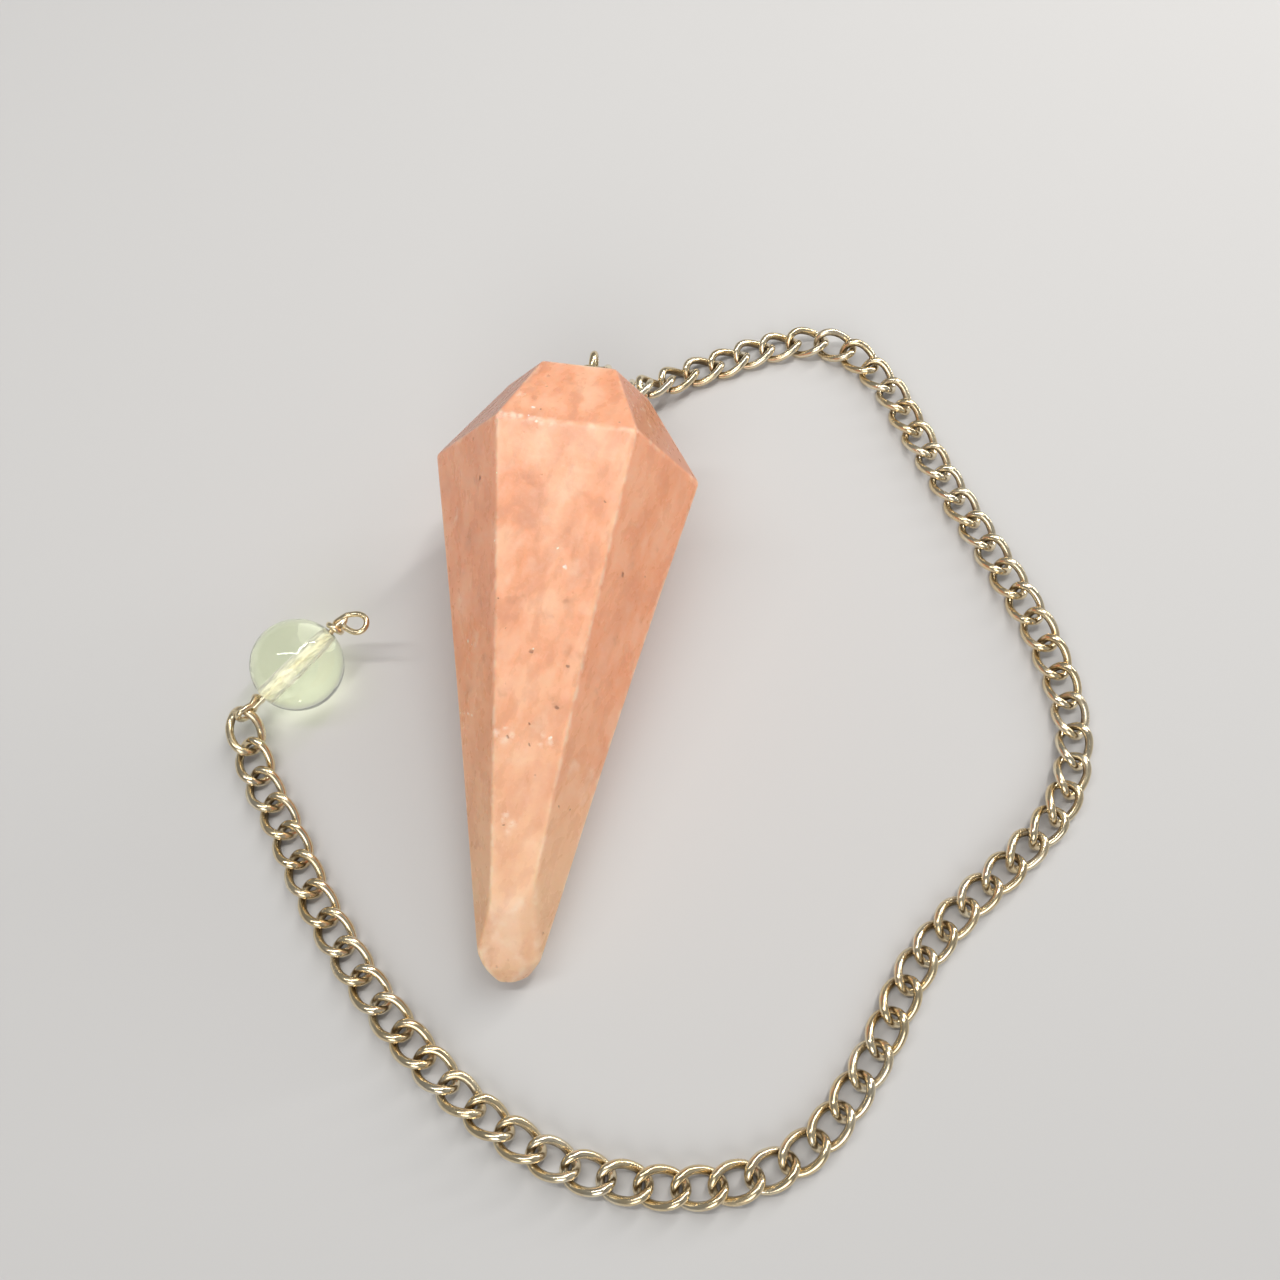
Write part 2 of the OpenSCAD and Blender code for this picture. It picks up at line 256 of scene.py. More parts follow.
# Stone
stone = {
    "width": 18, "length": 38.5, "crown": 5.7, "bore": 0.7, "boreDepth": 5, "boreOffset": 0.7,
    # direction; reach at the table, shoulder, point and tip; start of the point; tone; hollow
    # (a tone over 0 is paler and under 0 deeper; the tones are partly the facets' own colour and partly
    # painted shade, deeper on the side facets)
    "facets": [
        (-206, 0.495, 0.95, 0.13, 0.04, 0.965, -0.3, 0.05),
        (-146, 0.54, 0.99, 0.24, 0.06, 0.945, -0.48, 0.08),
        (-87, 0.55, 1.01, 0.34, -0.04, 0.86, 0.08, 0.0),
        (-29, 0.545, 0.985, 0.22, 0.09, 0.96, -0.42, 0.17),
        (27, 0.51, 0.96, 0.21, 0.12, 0.975, -0.2, 0.05),
        (90, 0.55, 1.00, 0.31, 0.04, 0.92, 0.0, 0.0)],
    # planes count three to a facet: crown, body, point; the crown planes that the camera sees, with their
    # tones, painted shade that is deepest on the crown's sides; the top facet's point, whose paler tone is
    # painted light;
    # and the table's tone
    "crownPlanes": (3, 6, 9), "crownShadeTones": (-1.6, -0.1, -1.45), "topPoint": 8, "pointLitTone": 0.1,
    "tableTone": 0.2,
    # how far the corners are rounded and the tones blend, the width of a ridge's mark, and the share of the
    # body that the hollows reach over
    "softness": 0.06, "toneBlend": 0.06, "ridgeWidth": 0.14, "hollowTo": 0.85,
    # the mesh: columns to a facet, crowded at its edges; rows down to a band round the shoulder, over the
    # band and down the body; rows round the tip; rings in the table and down the bore
    "columns": 54, "crowd": 0.86, "band": 1.2, "rows": (22, 34, 66), "tipRows": 44,
    "tableRings": (0.0, 0.12, 0.3, 0.55, 0.8, 0.93), "boreRings": (0.0, 0.06, 1.5, 3.2),
    # the core line that the rays start from: its distance from table and tip, and its sway at the tip
    "coreTop": 3.2, "coreEnd": 2.6, "coreSway": (0.1, 0.5),
    # cuts that wear the tip: the direction each leans to, by how much, and how deep at the axis
    "worn": [(0.0, 0.0, 0.28), (-58.5, 65, -0.37), (-79, 43, 0.52), (-34, 41, 0.15)],
    # chips: direction, height over the shoulder, how deep they bite, radius
    "chips": [(-114, 0.12, 0.1, 0.7), (-108, 0.1, 0.07, 0.5), (-101, 0.15, 0.05, 0.4), (-92, 0.1, 0.03, 0.3),
              (-117, -0.5, 0.05, 0.4), (-58, 0.1, 0.04, 0.3), (-176, 0.0, 0.06, 0.5), (-1, 0.05, 0.06, 0.4),
              (58, 0.0, 0.08, 0.5), (122, 0.0, 0.08, 0.5), (-112, 2.2, 0.04, 0.3)],
    # flaws that the photograph shows, with painted glints and painted shade among them, by pixel and radius
    # in millimetres
    "specks": [(541, 409, 0.12), (620, 422, 0.1), (605, 501, 0.1), (498, 598, 0.1), (506, 628, 0.1),
               (532, 651, 0.18), (567, 666, 0.12), (557, 708, 0.2), (529, 724, 0.12), (530, 745, 0.1),
               (507, 736, 0.16), (504, 824, 0.1), (559, 806, 0.12), (570, 810, 0.1), (480, 478, 0.2),
               (623, 575, 0.2), (645, 577, 0.08)],
    # white points that paint glints, some on chips and along a crack
    "glints": [(557, 548, 0.1), (565, 567, 0.15), (550, 738, 0.14), (468, 641, 0.12), (472, 645, 0.1),
               (460, 713, 0.09), (464, 713.4, 0.1), (468, 714, 0.1), (472, 714.6, 0.08), (496, 472, 0.09),
               (533, 648, 0.08), (533, 407, 0.16), (537, 421, 0.12), (529, 415, 0.1), (500, 412, 0.14),
               (641, 409.5, 0.13), (650, 426, 0.13), (495, 540, 0.07), (579, 676, 0.12)],
    "frosts": [(499, 411, 0.4), (505, 414, 0.45), (512, 413, 0.35), (520, 415, 0.3), (530, 419, 0.35),
               (541, 423, 0.3), (551, 424, 0.22), (497, 420, 0.2), (496, 733, 0.4), (504, 740, 0.45),
               (512, 735, 0.3), (505, 728, 0.25), (543, 735, 0.3), (550, 742, 0.3), (506, 815, 0.35),
               (512, 824, 0.4), (508, 832, 0.3), (503, 820, 0.2), (540, 745, 0.22), (643, 409, 0.3),
               (649, 425, 0.3)],
    "pales": [(592, 778, 1.0), (582, 792, 1.2), (572, 770, 0.8), (514, 905, 1.3), (512, 925, 1.2),
              (514, 942, 1.0), (560, 490, 1.4), (553, 520, 0.9), (560, 545, 0.7), (575, 572, 0.8),
              (535, 440, 1.5), (590, 440, 1.4), (585, 610, 0.7), (460, 600, 0.7), (476, 640, 0.7),
              (455, 520, 0.6), (640, 520, 0.8), (545, 720, 0.9), (520, 760, 1.0), (535, 850, 0.8)],
    # spots of painted shade along the tip's lower edge
    "shadeSpots": [(484, 905, 0.5), (484, 920, 0.6), (485, 935, 0.7), (486, 948, 0.75), (490, 961, 0.6),
              (497, 974, 0.5), (508, 979, 0.4), (520, 978, 0.4)],
    "browns": [(476, 480, 0.7), (470, 540, 0.9), (463, 575, 0.8), (478, 600, 0.8), (468, 690, 0.9),
               (484, 660, 0.6), (633, 560, 0.6), (655, 545, 0.5), (622, 577, 0.4), (640, 620, 0.8),
               (612, 640, 0.8), (536, 500, 0.9), (528, 480, 0.5), (552, 610, 0.6), (565, 600, 0.5),
               (570, 655, 0.7), (557, 704, 0.6), (520, 600, 0.7), (540, 400, 0.5), (575, 385, 0.6),
               (600, 395, 0.5), (500, 690, 0.7), (585, 660, 0.6), (596, 700, 0.6), (476, 770, 0.6),
               (475, 845, 0.6)],
    # the tints that follow the facets' tones paint shade on the side facets and the crown's sides and light
    # on the top facet's point, beside the stone's own colour
    "tints": {
        "base": (0.87, 0.39, 0.215), "veil": (0.94, 0.475, 0.285), "tip": (0.885, 0.60, 0.38),
        "cloudPale": (0.97, 0.60, 0.405), "cloudDeep": (0.73, 0.34, 0.205),
        "mottlePale": (0.97, 0.66, 0.48), "mottleDeep": (0.65, 0.31, 0.20),
        "deepShadeTop": (0.78, 0.28, 0.12), "deepShadeTip": (0.64, 0.38, 0.19), "dark": (0.36, 0.13, 0.06),
        "bright": (0.98, 0.60, 0.39), "brown": (0.60, 0.28, 0.165), "pale": (1.0, 0.72, 0.52),
        "shaded": (0.72, 0.40, 0.22), "finePale": (1.0, 0.75, 0.56), "fineDeep": (0.56, 0.27, 0.17),
        "pit": (0.34, 0.15, 0.09), "speck": (0.25, 0.11, 0.06), "frost": (1.0, 0.82, 0.67),
        "glint": (1.0, 0.94, 0.84), "ridge": (1.0, 0.78, 0.60), "chip": (0.99, 0.80, 0.67)},
}


def stoneSizes():
    # half the width across the flats, and the length of the body below the shoulder
    return stone["width"] / 2 * math.cos(math.pi / 6), stone["length"] - stone["crown"]


def stonePlanes():
    # each facet's outward normal and distance from the middle of the shoulder, in the stone's own frame
    flat, body = stoneSizes()
    table = np.array(stone["facets"])
    around = radians(table[:, 0])
    reach = flat * table[:, 1:5]
    heights = np.outer(np.ones(6), [stone["crown"], 0, 0, -body])
    heights[:, 2] = -body * table[:, 5]
    step = -unit(np.diff(np.stack([reach, heights], axis=-1), axis=1))
    normals = np.stack([step[..., 1] * np.cos(around)[:, None], step[..., 1] * np.sin(around)[:, None],
                        -step[..., 0]], axis=-1)
    offsets = step[..., 1] * reach[:, :3] - step[..., 0] * heights[:, :3]
    # the cuts that wear the tip
    worn = np.array(stone["worn"])
    way, tilt = radians(worn[:, 0]), radians(worn[:, 1])
    cuts = np.stack([np.sin(tilt) * np.cos(way), np.sin(tilt) * np.sin(way), -np.cos(tilt)], axis=1)
    normals = np.concatenate([normals.reshape(-1, 3), [[0, 0, 1]], cuts])
    inner = body * np.cos(tilt) - worn[:, 2]
    offsets = np.concatenate([offsets.ravel(), [stone["crown"]], inner])
    return around, reach, heights, normals, offsets


def crowded(count, crowd):
    # shares from 0 up to 1, packed close together near both ends: u - crowd * sin(turn * u) / turn
    u = np.arange(count) / count
    return u - crowd * np.sin(2 * math.pi * u) / (2 * math.pi)


def stoneRays(around, reach, heights):
    # rays from a core line inside the stone, in rings from the bore over the table and the sides to the
    # tip: each aims at the outline of its slice, and a ring's rays crowd towards the outline's corners
    crown, body = stone["crown"], stoneSizes()[1]
    topCore, endCore = crown - stone["coreTop"], -body + stone["coreEnd"]
    band, rows = stone["band"], stone["rows"]
    side = np.concatenate([np.linspace(crown, band, rows[0])[:-1], np.linspace(band, -band, rows[1])[:-1],
                           np.linspace(-band, endCore, rows[2])])
    sway = np.clip(side / endCore, 0, 1)[:, None] ** 2
    core = np.concatenate([stone["coreSway"] * sway, np.clip(side, endCore, topCore)[:, None]], axis=1)
    # corners of each slice, from the two facets that meet there
    reachAt = np.stack([np.interp(-side, -h, r) for h, r in zip(heights, reach)], axis=1)
    nextAt, nextAround = np.roll(reachAt, -1, axis=1), np.roll(around, -1)
    turn = np.sin(nextAround - around)
    corner = np.stack([(reachAt * np.sin(nextAround) - nextAt * np.sin(around)) / turn,
                       (nextAt * np.cos(around) - reachAt * np.cos(nextAround)) / turn], axis=-1)
    arm = corner - core[:, None, :2]
    angle = np.unwrap(np.arctan2(arm[..., 1], arm[..., 0]), axis=1)
    following = np.concatenate([angle[:, 1:], angle[:, :1] + 2 * math.pi], axis=1)
    share = crowded(stone["columns"], stone["crowd"])
    theta = (angle[..., None] + (following - angle)[..., None] * share).reshape(len(side), -1)
    radial = np.stack([np.cos(theta), np.sin(theta), np.zeros_like(theta)], axis=-1)
    # the slice's outline along each direction
    spread = np.cos(theta[..., None] - around)
    gap = reachAt[:, None, :] - (core[:, None, :2] @ np.stack([np.cos(around), np.sin(around)]))
    out = np.where(spread > 1e-3, gap / np.maximum(spread, 1e-3), np.inf).min(axis=-1)
    target = core[:, None, :] * [1, 1, 0] + radial * out[..., None] + [0, 0, 1] * side[:, None, None]
    # rings inside the table, from the bore's mouth towards the rim
    boreRing = stone["bore"] / 2 * radial[0] + [stone["boreOffset"], 0, crown]
    inner = boreRing + (target[0] - boreRing) * np.array(stone["tableRings"])[:, None, None]
    # rings round the tip, as rays that swing from level to straight down
    swing = radians(np.linspace(0, 90, stone["tipRows"])[1:-1])[:, None, None]
    tipRays = np.cos(swing) * radial[-1] - np.sin(swing) * np.array([0, 0, 1.0])
    origins = np.concatenate([np.broadcast_to([0, 0, topCore], inner.shape),
                              np.broadcast_to(core[:, None], target.shape),
                              np.broadcast_to(core[-1], tipRays.shape)])
    rays = unit(np.concatenate([inner - [0, 0, topCore], target - core[:, None], tipRays]))
    return origins, rays, boreRing


def planeHits(origins, rays, normals, offsets):
    # how far along each ray it leaves through each plane: (offset - origin . normal) / (ray . normal)
    facing = rays @ normals.T
    return np.where(facing > 1e-3, (offsets - origins @ normals.T) / np.maximum(facing, 1e-4), np.inf)


def softLeast(distances):
    # the least, rounded where two come close: least - w * log(sum(exp((least - distance) / w)))
    least, soft = distances.min(axis=-1, keepdims=True), stone["softness"]
    return least[..., 0] - soft * np.log(np.exp((least - distances) / soft).sum(axis=-1))


def hollows(along, count):
    # how deep each of the planes is hollow at a share of the body: depth * sin(pi * share / reach)
    depth = np.zeros(count)
    depth[1:18:3] = np.array(stone["facets"])[:, 7]
    return depth * np.sin(math.pi * np.clip(along / stone["hollowTo"], 0, 1))[..., None]


def bitten(origins, rays, reached, normals, offsets):
    # chips, as balls that bite into the surface: the rays end where they enter a ball, and a mark grows
    # from 0 to 1 as that cuts off 0.03 mm
    chipped = np.zeros_like(reached)
    for direction, height, bite, radius in stone["chips"]:
        turn, start = math.radians(direction), np.array([0, 0, height])
        way = np.array([math.cos(turn), math.sin(turn), 0])
        edge = start + way * planeHits(start, way, normals, offsets).min()
        ball = edge + way * (radius - bite)
        b = ((origins - ball) * rays).sum(axis=-1)
        c = ((origins - ball) ** 2).sum(axis=-1) - radius ** 2
        root = b * b - c
        entry = np.where((root > 0) & (b < 0), -b - np.sqrt(np.maximum(root, 0)), np.inf)
        chipped = np.maximum(chipped, np.clip((reached - entry) / 0.03, 0, 1))
        reached = np.minimum(reached, entry)
    return reached, chipped


def ridgeAndShadeTone(points, normals, offsets):
    # ridge: exp(-(gap / width)^2), with the gap between the distances of the two nearest planes;
    # tone: the facets' tones, partly their own colour and partly painted shade and light,
    # each weighed by exp(-distance / blend)
    away = np.abs(offsets - points @ normals.T)
    near = away.copy()
    # the top facet's point is too worn to draw a ridge
    near[:, stone["topPoint"]] += 1
    near = np.sort(near, axis=1)
    ridge = np.exp(-((near[:, 1] - near[:, 0]) / stone["ridgeWidth"]) ** 2)
    tones = np.repeat(np.array(stone["facets"])[:, 6], 3)
    tones[list(stone["crownPlanes"])] = stone["crownShadeTones"]
    tones[stone["topPoint"]] = stone["pointLitTone"]
    tones = np.concatenate([tones, [stone["tableTone"]], np.zeros(len(stone["worn"]))])
    weight = np.exp(-away / stone["toneBlend"])
    return ridge, (weight * tones).sum(axis=1) / weight.sum(axis=1)


def restSizes():
    # half the width, the resting facet's angle to the axis, and half its length
    flat, body = stoneSizes()
    shoulder, point, _, start = stone["facets"][5][2:6]
    lean = math.atan(flat * (shoulder - point) / (body * start))
    return flat, lean, body * start / math.cos(lean) / 2


def layStone(points):
    # from the stone's own frame, with its axis along +Z, to where it lies
    flat, lean, half = restSizes()
    a = lean - math.pi / 2
    x, y, z = np.moveaxis(np.asarray(points, float), -1, 0)
    return np.stack([x, y * math.cos(a) - z * math.sin(a) + half - flat * math.sin(lean),
                     y * math.sin(a) + z * math.cos(a) + flat * math.cos(lean)], axis=-1)


def makeStone():
    # every point lies along a ray from the core line, at the rounded least of the planes' distances
    around, reach, heights, normals, offsets = stonePlanes()
    origins, rays, boreRing = stoneRays(around, reach, heights)
    along = -(origins + rays)[..., 2] / stoneSizes()[1]
    reached = softLeast(planeHits(origins, rays, normals, offsets - hollows(along, len(offsets))))
    reached, chipped = bitten(origins, rays, reached, normals, offsets)
    points = origins + rays * reached[..., None]
    # the bore: its wall's rings, from its closed end up to the table
    depths = np.array([*stone["boreRings"], stone["boreDepth"]])
    wall = boreRing - np.array([0, 0, 1.0]) * depths[:, None, None]
    points = np.concatenate([wall[::-1], points[1:]])
    chipped = np.concatenate([np.zeros(wall.shape[:2]), chipped[1:]])
    rows, columns = points.shape[:2]
    points = points.reshape(-1, 3)
    ridge, toneAndShade = ridgeAndShadeTone(points, normals, offsets)
    # the poles: the middle of the bore's floor, and the tip, straight below the core line's end
    down = np.array([0, 0, -1.0])
    tip = origins[-1, 0] + down * softLeast(planeHits(origins[-1, 0], down, normals, offsets))
    floor = [stone["boreOffset"], 0, stone["crown"] - stone["boreDepth"]]
    laid = layStone(np.concatenate([points, [floor, tip]]))
    marks = {"ridge": ridge, "toneAndShade": toneAndShade, "chip": chipped.ravel()}
    marks = {name: np.append(values, [0, 0]) for name, values in marks.items()}
    faces = [f[:, ::-1] for f in tubeFaces(rows, columns)]
    piece = meshFrom("stone_cut", laid, faces, stonePaint(), marks)
    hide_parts("stone")


def seenOnStone(flaws):
    # where the camera's ray through each pixel first meets the laid stone: the last plane that it enters,
    # and a little further where that facet is hollow
    table = np.array(flaws)
    rays = pixelRays(table)
    normals, offsets = stonePlanes()[3:]
    foot = layStone([0, 0, 0])
    laid = layStone(normals) - foot
    start = np.array(view["place"])
    facing = np.minimum(rays @ laid.T, -1e-6)
    t = (offsets + laid @ foot - laid @ start) / facing
    t = np.where(facing < -1e-6, t, -np.inf)
    met = t.argmax(axis=1)[:, None]
    reached = np.take_along_axis(t, met, axis=1)
    along = (foot - start - rays * reached) @ (layStone([0, 0, 1]) - foot) / stoneSizes()[1]
    deeper = -hollows(along, len(offsets)) / facing
    reached += np.take_along_axis(deeper, met, axis=1)
    return np.concatenate([start + rays * reached, table[:, 2:]], axis=1).tolist()


def stonePaint():
    # peach quartz: clouds and mottles streaked along the stone, a paler tip, then each facet's tone, partly
    # its own colour and partly painted shade and light, small pits all over, the flaws and worn edges that
    # the photograph shows, painted glints, and painted shade along the tip's lower edge
    paint = Paint("cloudy_peach_quartz")
    tints = stone["tints"]
    at = paint.place()
    streak = paint.warped(paint.place((1, 0.48, 1), 14), 0.5, 1.3)
    veil = paint.noise(streak, 0.3, 4, 0.55)
    cloud = paint.noise(streak, 0.5, 4, 0.5)
    mottle = paint.noise(streak, 1.1, 4, 0.5)
    fine = paint.noise(at, 3.5, 5, 0.7)
    ridge, toneAndShade, chip = (paint.mark(name) for name in ("ridge", "toneAndShade", "chip"))
    wide, near = paint.warped(paint.warped(at, 0.5, 2.0), 1.5, 1.2), paint.warped(at, 3.0, 0.35)
    low = 1 - paint.add("ShaderNodeSeparateXYZ", {}, {0: at}, "Y").step(-17.0, 2.0)
    calm = 1 - 0.5 * low
    # painted shade: the crown's sides, with the deepest tones, take the dark tint
    dark = (toneAndShade * -1.0 - 1).held()
    grain = 0.16 - 0.12 * dark
    edge = (mottle - 0.5) * 1.6

    def seen(flaws, places, wobble, core=0.3):
        return paint.spots(places, wobble, seenOnStone(stone[flaws]), core)

    cell = paint.add("ShaderNodeTexVoronoi", {}, {"Vector": near, "Scale": 0.55}, "Distance")
    pit = (1 - cell.step(0.03, 0.09)) * mottle.step(0.42, 0.55)
    speck = seen("specks", near, (fine - 0.5) * 0.8)
    frost = seen("frosts", near, (fine - 0.5) * 1.8, -0.1) * fine.step(0.36, 0.52)
    # painted glints: small near-white points
    glint = seen("glints", near, (fine - 0.5) * 0.8)
    worn = ridge * (0.15 + 0.85 * paint.noise(at, 1.3, 3).step(0.42, 0.64))
    chipped = chip * (0.3 + 0.7 * fine.step(0.4, 0.6))
    layers = [
        (low * 0.85, tints["tip"]),
        (cloud.step(0.48, 0.66) * calm * 0.6, tints["cloudPale"]),
        ((1 - cloud).step(0.48, 0.66) * calm * 0.7, tints["cloudDeep"]),
        (mottle.step(0.5, 0.68) * calm * 0.28, tints["mottlePale"]),
        ((1 - mottle).step(0.5, 0.68) * calm * 0.38, tints["mottleDeep"]),
        # the facets' tones: deeper tints paint shade on the side facets and crown, a paler one paints light
        # on the top facet's point
        ((toneAndShade * -1.0).held() * 0.9, paint.mix(low, tints["deepShadeTop"], tints["deepShadeTip"])),
        (dark, tints["dark"]),
        (toneAndShade.held(), tints["bright"]),
        (seen("browns", wide, edge, -0.3) * 0.7, tints["brown"]),
        (seen("pales", wide, edge, -0.3) * 0.45, tints["pale"]),
        # painted shade along the tip's lower edge
        (seen("shadeSpots", near, edge * 0.3) * 0.45, tints["shaded"]),
        (fine.step(0.5, 0.75) * grain, tints["finePale"]),
        ((1 - fine).step(0.54, 0.75) * grain, tints["fineDeep"]),
        (pit * 0.35, tints["pit"]),
        (speck * 0.7, tints["speck"]),
        (frost * 0.65, tints["frost"]),
        (glint * 0.9, tints["glint"]),
        (worn * 0.45, tints["ridge"]),
        (chipped * 0.5, tints["chip"])]
    colour = paint.mix(veil.step(0.38, 0.62), tints["base"], tints["veil"])
    for share, tint in layers:
        colour = paint.mix(share, colour, tint)
    paint.put(paint.shader, {
        "Base Color": colour,
        "Roughness": (0.2 + 0.16 * mottle + 0.3 * chip + 0.12 * worn + 0.2 * frost + 0.2 * speck).held(),
        "IOR": 1.54, "Specular IOR Level": 0.36, "Subsurface Weight": 0.4, "Subsurface Scale": 1.2 * mm,
        "Subsurface Radius": (1.0, 0.45, 0.25),
        "Normal": paint.bump(paint.noise(at, 0.5, 3) + 0.3 * fine + 0.6 * chipped - pit - speck, 0.03)})
    return paint.material


# Wire swept along lines
def frames(lines, ups):
    # the direction of closed lines at each point, and two directions square to it
    way = unit(np.roll(lines, -1, axis=-2) - np.roll(lines, 1, axis=-2))
    up = unit(ups - (ups * way).sum(axis=-1, keepdims=True) * way)
    return way, up, np.cross(way, up)


def catmull(points, steps):
    # Catmull-Rom curve through the points, with that many steps between two of them
    p = np.asarray(points, float)
    a, b, c, d = p[np.r_[0, 0:len(p) - 2]], p[:-1], p[1:], p[np.r_[2:len(p), len(p) - 1]]
    u = (np.arange(steps) / steps)[None, :, None]
    a, b, c, d = a[:, None], b[:, None], c[:, None], d[:, None]
    curve = b + u * ((c - a) + u * ((2 * a - 5 * b + 4 * c - d) + u * (3 * b - a - 3 * c + d))) / 2
    return np.concatenate([curve.reshape(-1, p.shape[1]), p[-1:]])


# Chain
chain = {
    "length": 3.28, "width": 2.41, "wire": 0.48, "play": 0.18, "round": 0.8, "twist": 90, "spread": 1.56,
    # the route over the surface, in hundredths of its extent
    "route": [
        (12.7, 47.6), (15.8, 49.3), (20.6, 51.9), (26.5, 53.6), (32.3, 51.9), (36.5, 47.6), (39.3, 42.5),
        (43.1, 35.6), (49.6, 24.1), (55.1, 13.2), (57.6, 3.2), (55.9, -4.8), (51.4, -11), (45.5, -17.3),
        (40.6, -24), (36.5, -33.3), (30.6, -42), (21.3, -46.3), (9.5, -46.1), (-1, -41.8), (-11, -34.1),
        (-19.8, -24.5), (-26.1, -15.5)],
    "rolls": [(0, -72), (0.1, 0), (0.15, 0), (0.175, 30), (0.2, 0), (0.3, 0), (0.36, 26), (0.42, 0),
              (0.47, -24), (0.53, 0), (0.73, 0), (0.79, 26), (0.84, 0), (1, 0)],
    "fallLean": 70, "fallSteps": 6, "fallWay": (2, 3.6), "riseFoot": (1.8, -3.6), "hang": 20,
    "curveSteps": 12,
    # look of one link: drawn wire, stations, sides, and how its shade changes from link to link
    "drawn": 0.54, "stations": 48, "sides": 12, "shadeTurn": 2.4,
    # its cut: where, its half width in degrees, and in that width: the stations in it, the room that they
    # take and the dirt beside it
    "cutAt": 222, "cutSpread": 1.5, "cutDepth": 0.45, "cutClear": 5, "cutDirt": 1.6,
    "cutStations": (-4, -2.2, -1.2, -0.5, 0, 0.5, 1.2, 2.2, 4),
}


def full(v):
    # a sine or cosine made fuller: its size to a power below 1, with its sign
    return np.sign(v) * np.abs(v) ** chain["round"]


def linkPoint(t, roll):
    # centreline of a link: fuller than an ellipse, turned about its length by half the twist at each end
    wide, long = (chain["width"] - chain["wire"]) / 2, (chain["length"] - chain["wire"]) / 2
    turn = radians(roll) - radians(chain["twist"] / 2) * full(np.cos(t))
    side = wide * full(np.sin(t))
    parts = np.broadcast_arrays(long * full(np.cos(t)), side * np.cos(turn), side * np.sin(turn))
    return np.stack(parts, axis=-1), turn


def restingHeight(roll):
    # how high the middle of a link lies when its lowest wire touches the surface
    roll = np.asarray(roll, float)
    points, turn = linkPoint(radians(30 * np.arange(12.0)), roll[..., None])
    return points[..., 2].max(axis=-1) + chain["wire"] / 2


def beadAxis():
    # the direction of the bore towards the free loop, from its heading and its rise
    rise, heading = math.radians(bead["rise"]), math.radians(bead["heading"])
    return np.array([math.cos(rise) * math.cos(heading), math.cos(rise) * math.sin(heading), math.sin(rise)])


def wrapSizes():
    # from wrap to wrap, and how far along the bore they begin, where their first turn clears the bead
    pitch, clear = bead["wire"] + bead["play"], (bead["size"] + bead["wire"]) / 2 + bead["play"]
    return pitch, math.sqrt(clear ** 2 - pitch ** 2)


def laidScale():
    # a hundredth of the laid chain's extent
    return chain["spread"] * stone["length"] / 100


def beadCentre():
    # over its place in the laid chain, resting on the surface
    return np.array([*laidScale() * np.array(bead["place"]), bead["size"] / 2])


def chainRoute():
    # the route's points over a resting link: an arc down from the eye, the surface, an arc up to the bead
    scale = laidScale()
    centre = layStone([stone["boreOffset"], 0, stone["crown"] + pin["neck"] + pin["eye"] / 2])
    radius, hang = (pin["eye"] - pin["wire"]) / 2, math.radians(chain["hang"])
    hold = centre + radius * np.array([0, math.sin(hang), -math.cos(hang)])
    drop = hold[2] - restingHeight(chain["rolls"][0][1])
    start, ground = hold[:2], scale * np.array(chain["route"][0])
    lean = radians(chain["fallLean"] * (1 - np.arange(chain["fallSteps"]) / chain["fallSteps"]))[:, None]
    top = math.radians(chain["fallLean"])
    w = 1 - np.sin(lean) / math.sin(top)
    plan = (1 - w) ** 2 * start + 2 * w * (1 - w) * (start + chain["fallWay"]) + w ** 2 * ground
    fall = np.concatenate([plan, drop * (1 - np.cos(lean)) / (1 - math.cos(top))], axis=1)
    pitch, wrapStart = wrapSizes()
    far = wrapStart + bead["heldWraps"] * pitch + bead["heldSize"][0] - bead["wire"] / 2
    loop = beadCentre() - far * beadAxis()
    rise = loop[2] - restingHeight(0)
    riseTo = np.array([loop[0], loop[1], rise])
    foot = np.array(chain["riseFoot"])
    keys = np.array([*fall[1:], *[(scale * x, scale * y, 0) for x, y in chain["route"]],
                     riseTo + [*foot, -rise], riseTo + [*foot / 2, -rise * 3 / 4]])
    step = chain["length"] - 2 * chain["wire"] - chain["play"]

    def past(wire):
        # how far the route runs on past a wire, so that the end link hangs in it with the same play
        return (wire + chain["wire"]) / 2 + chain["play"] - (chain["length"] - chain["wire"] - step) / 2

    first = fall[0] - past(pin["wire"]) * unit(keys[0] - fall[0])
    last = riseTo + past(bead["wire"]) * unit(riseTo - keys[-1])
    route = catmull([first, *keys, last], chain["curveSteps"])
    run = np.concatenate([[0], np.cumsum(np.linalg.norm(np.diff(route, axis=0), axis=1))])
    return route, run, step


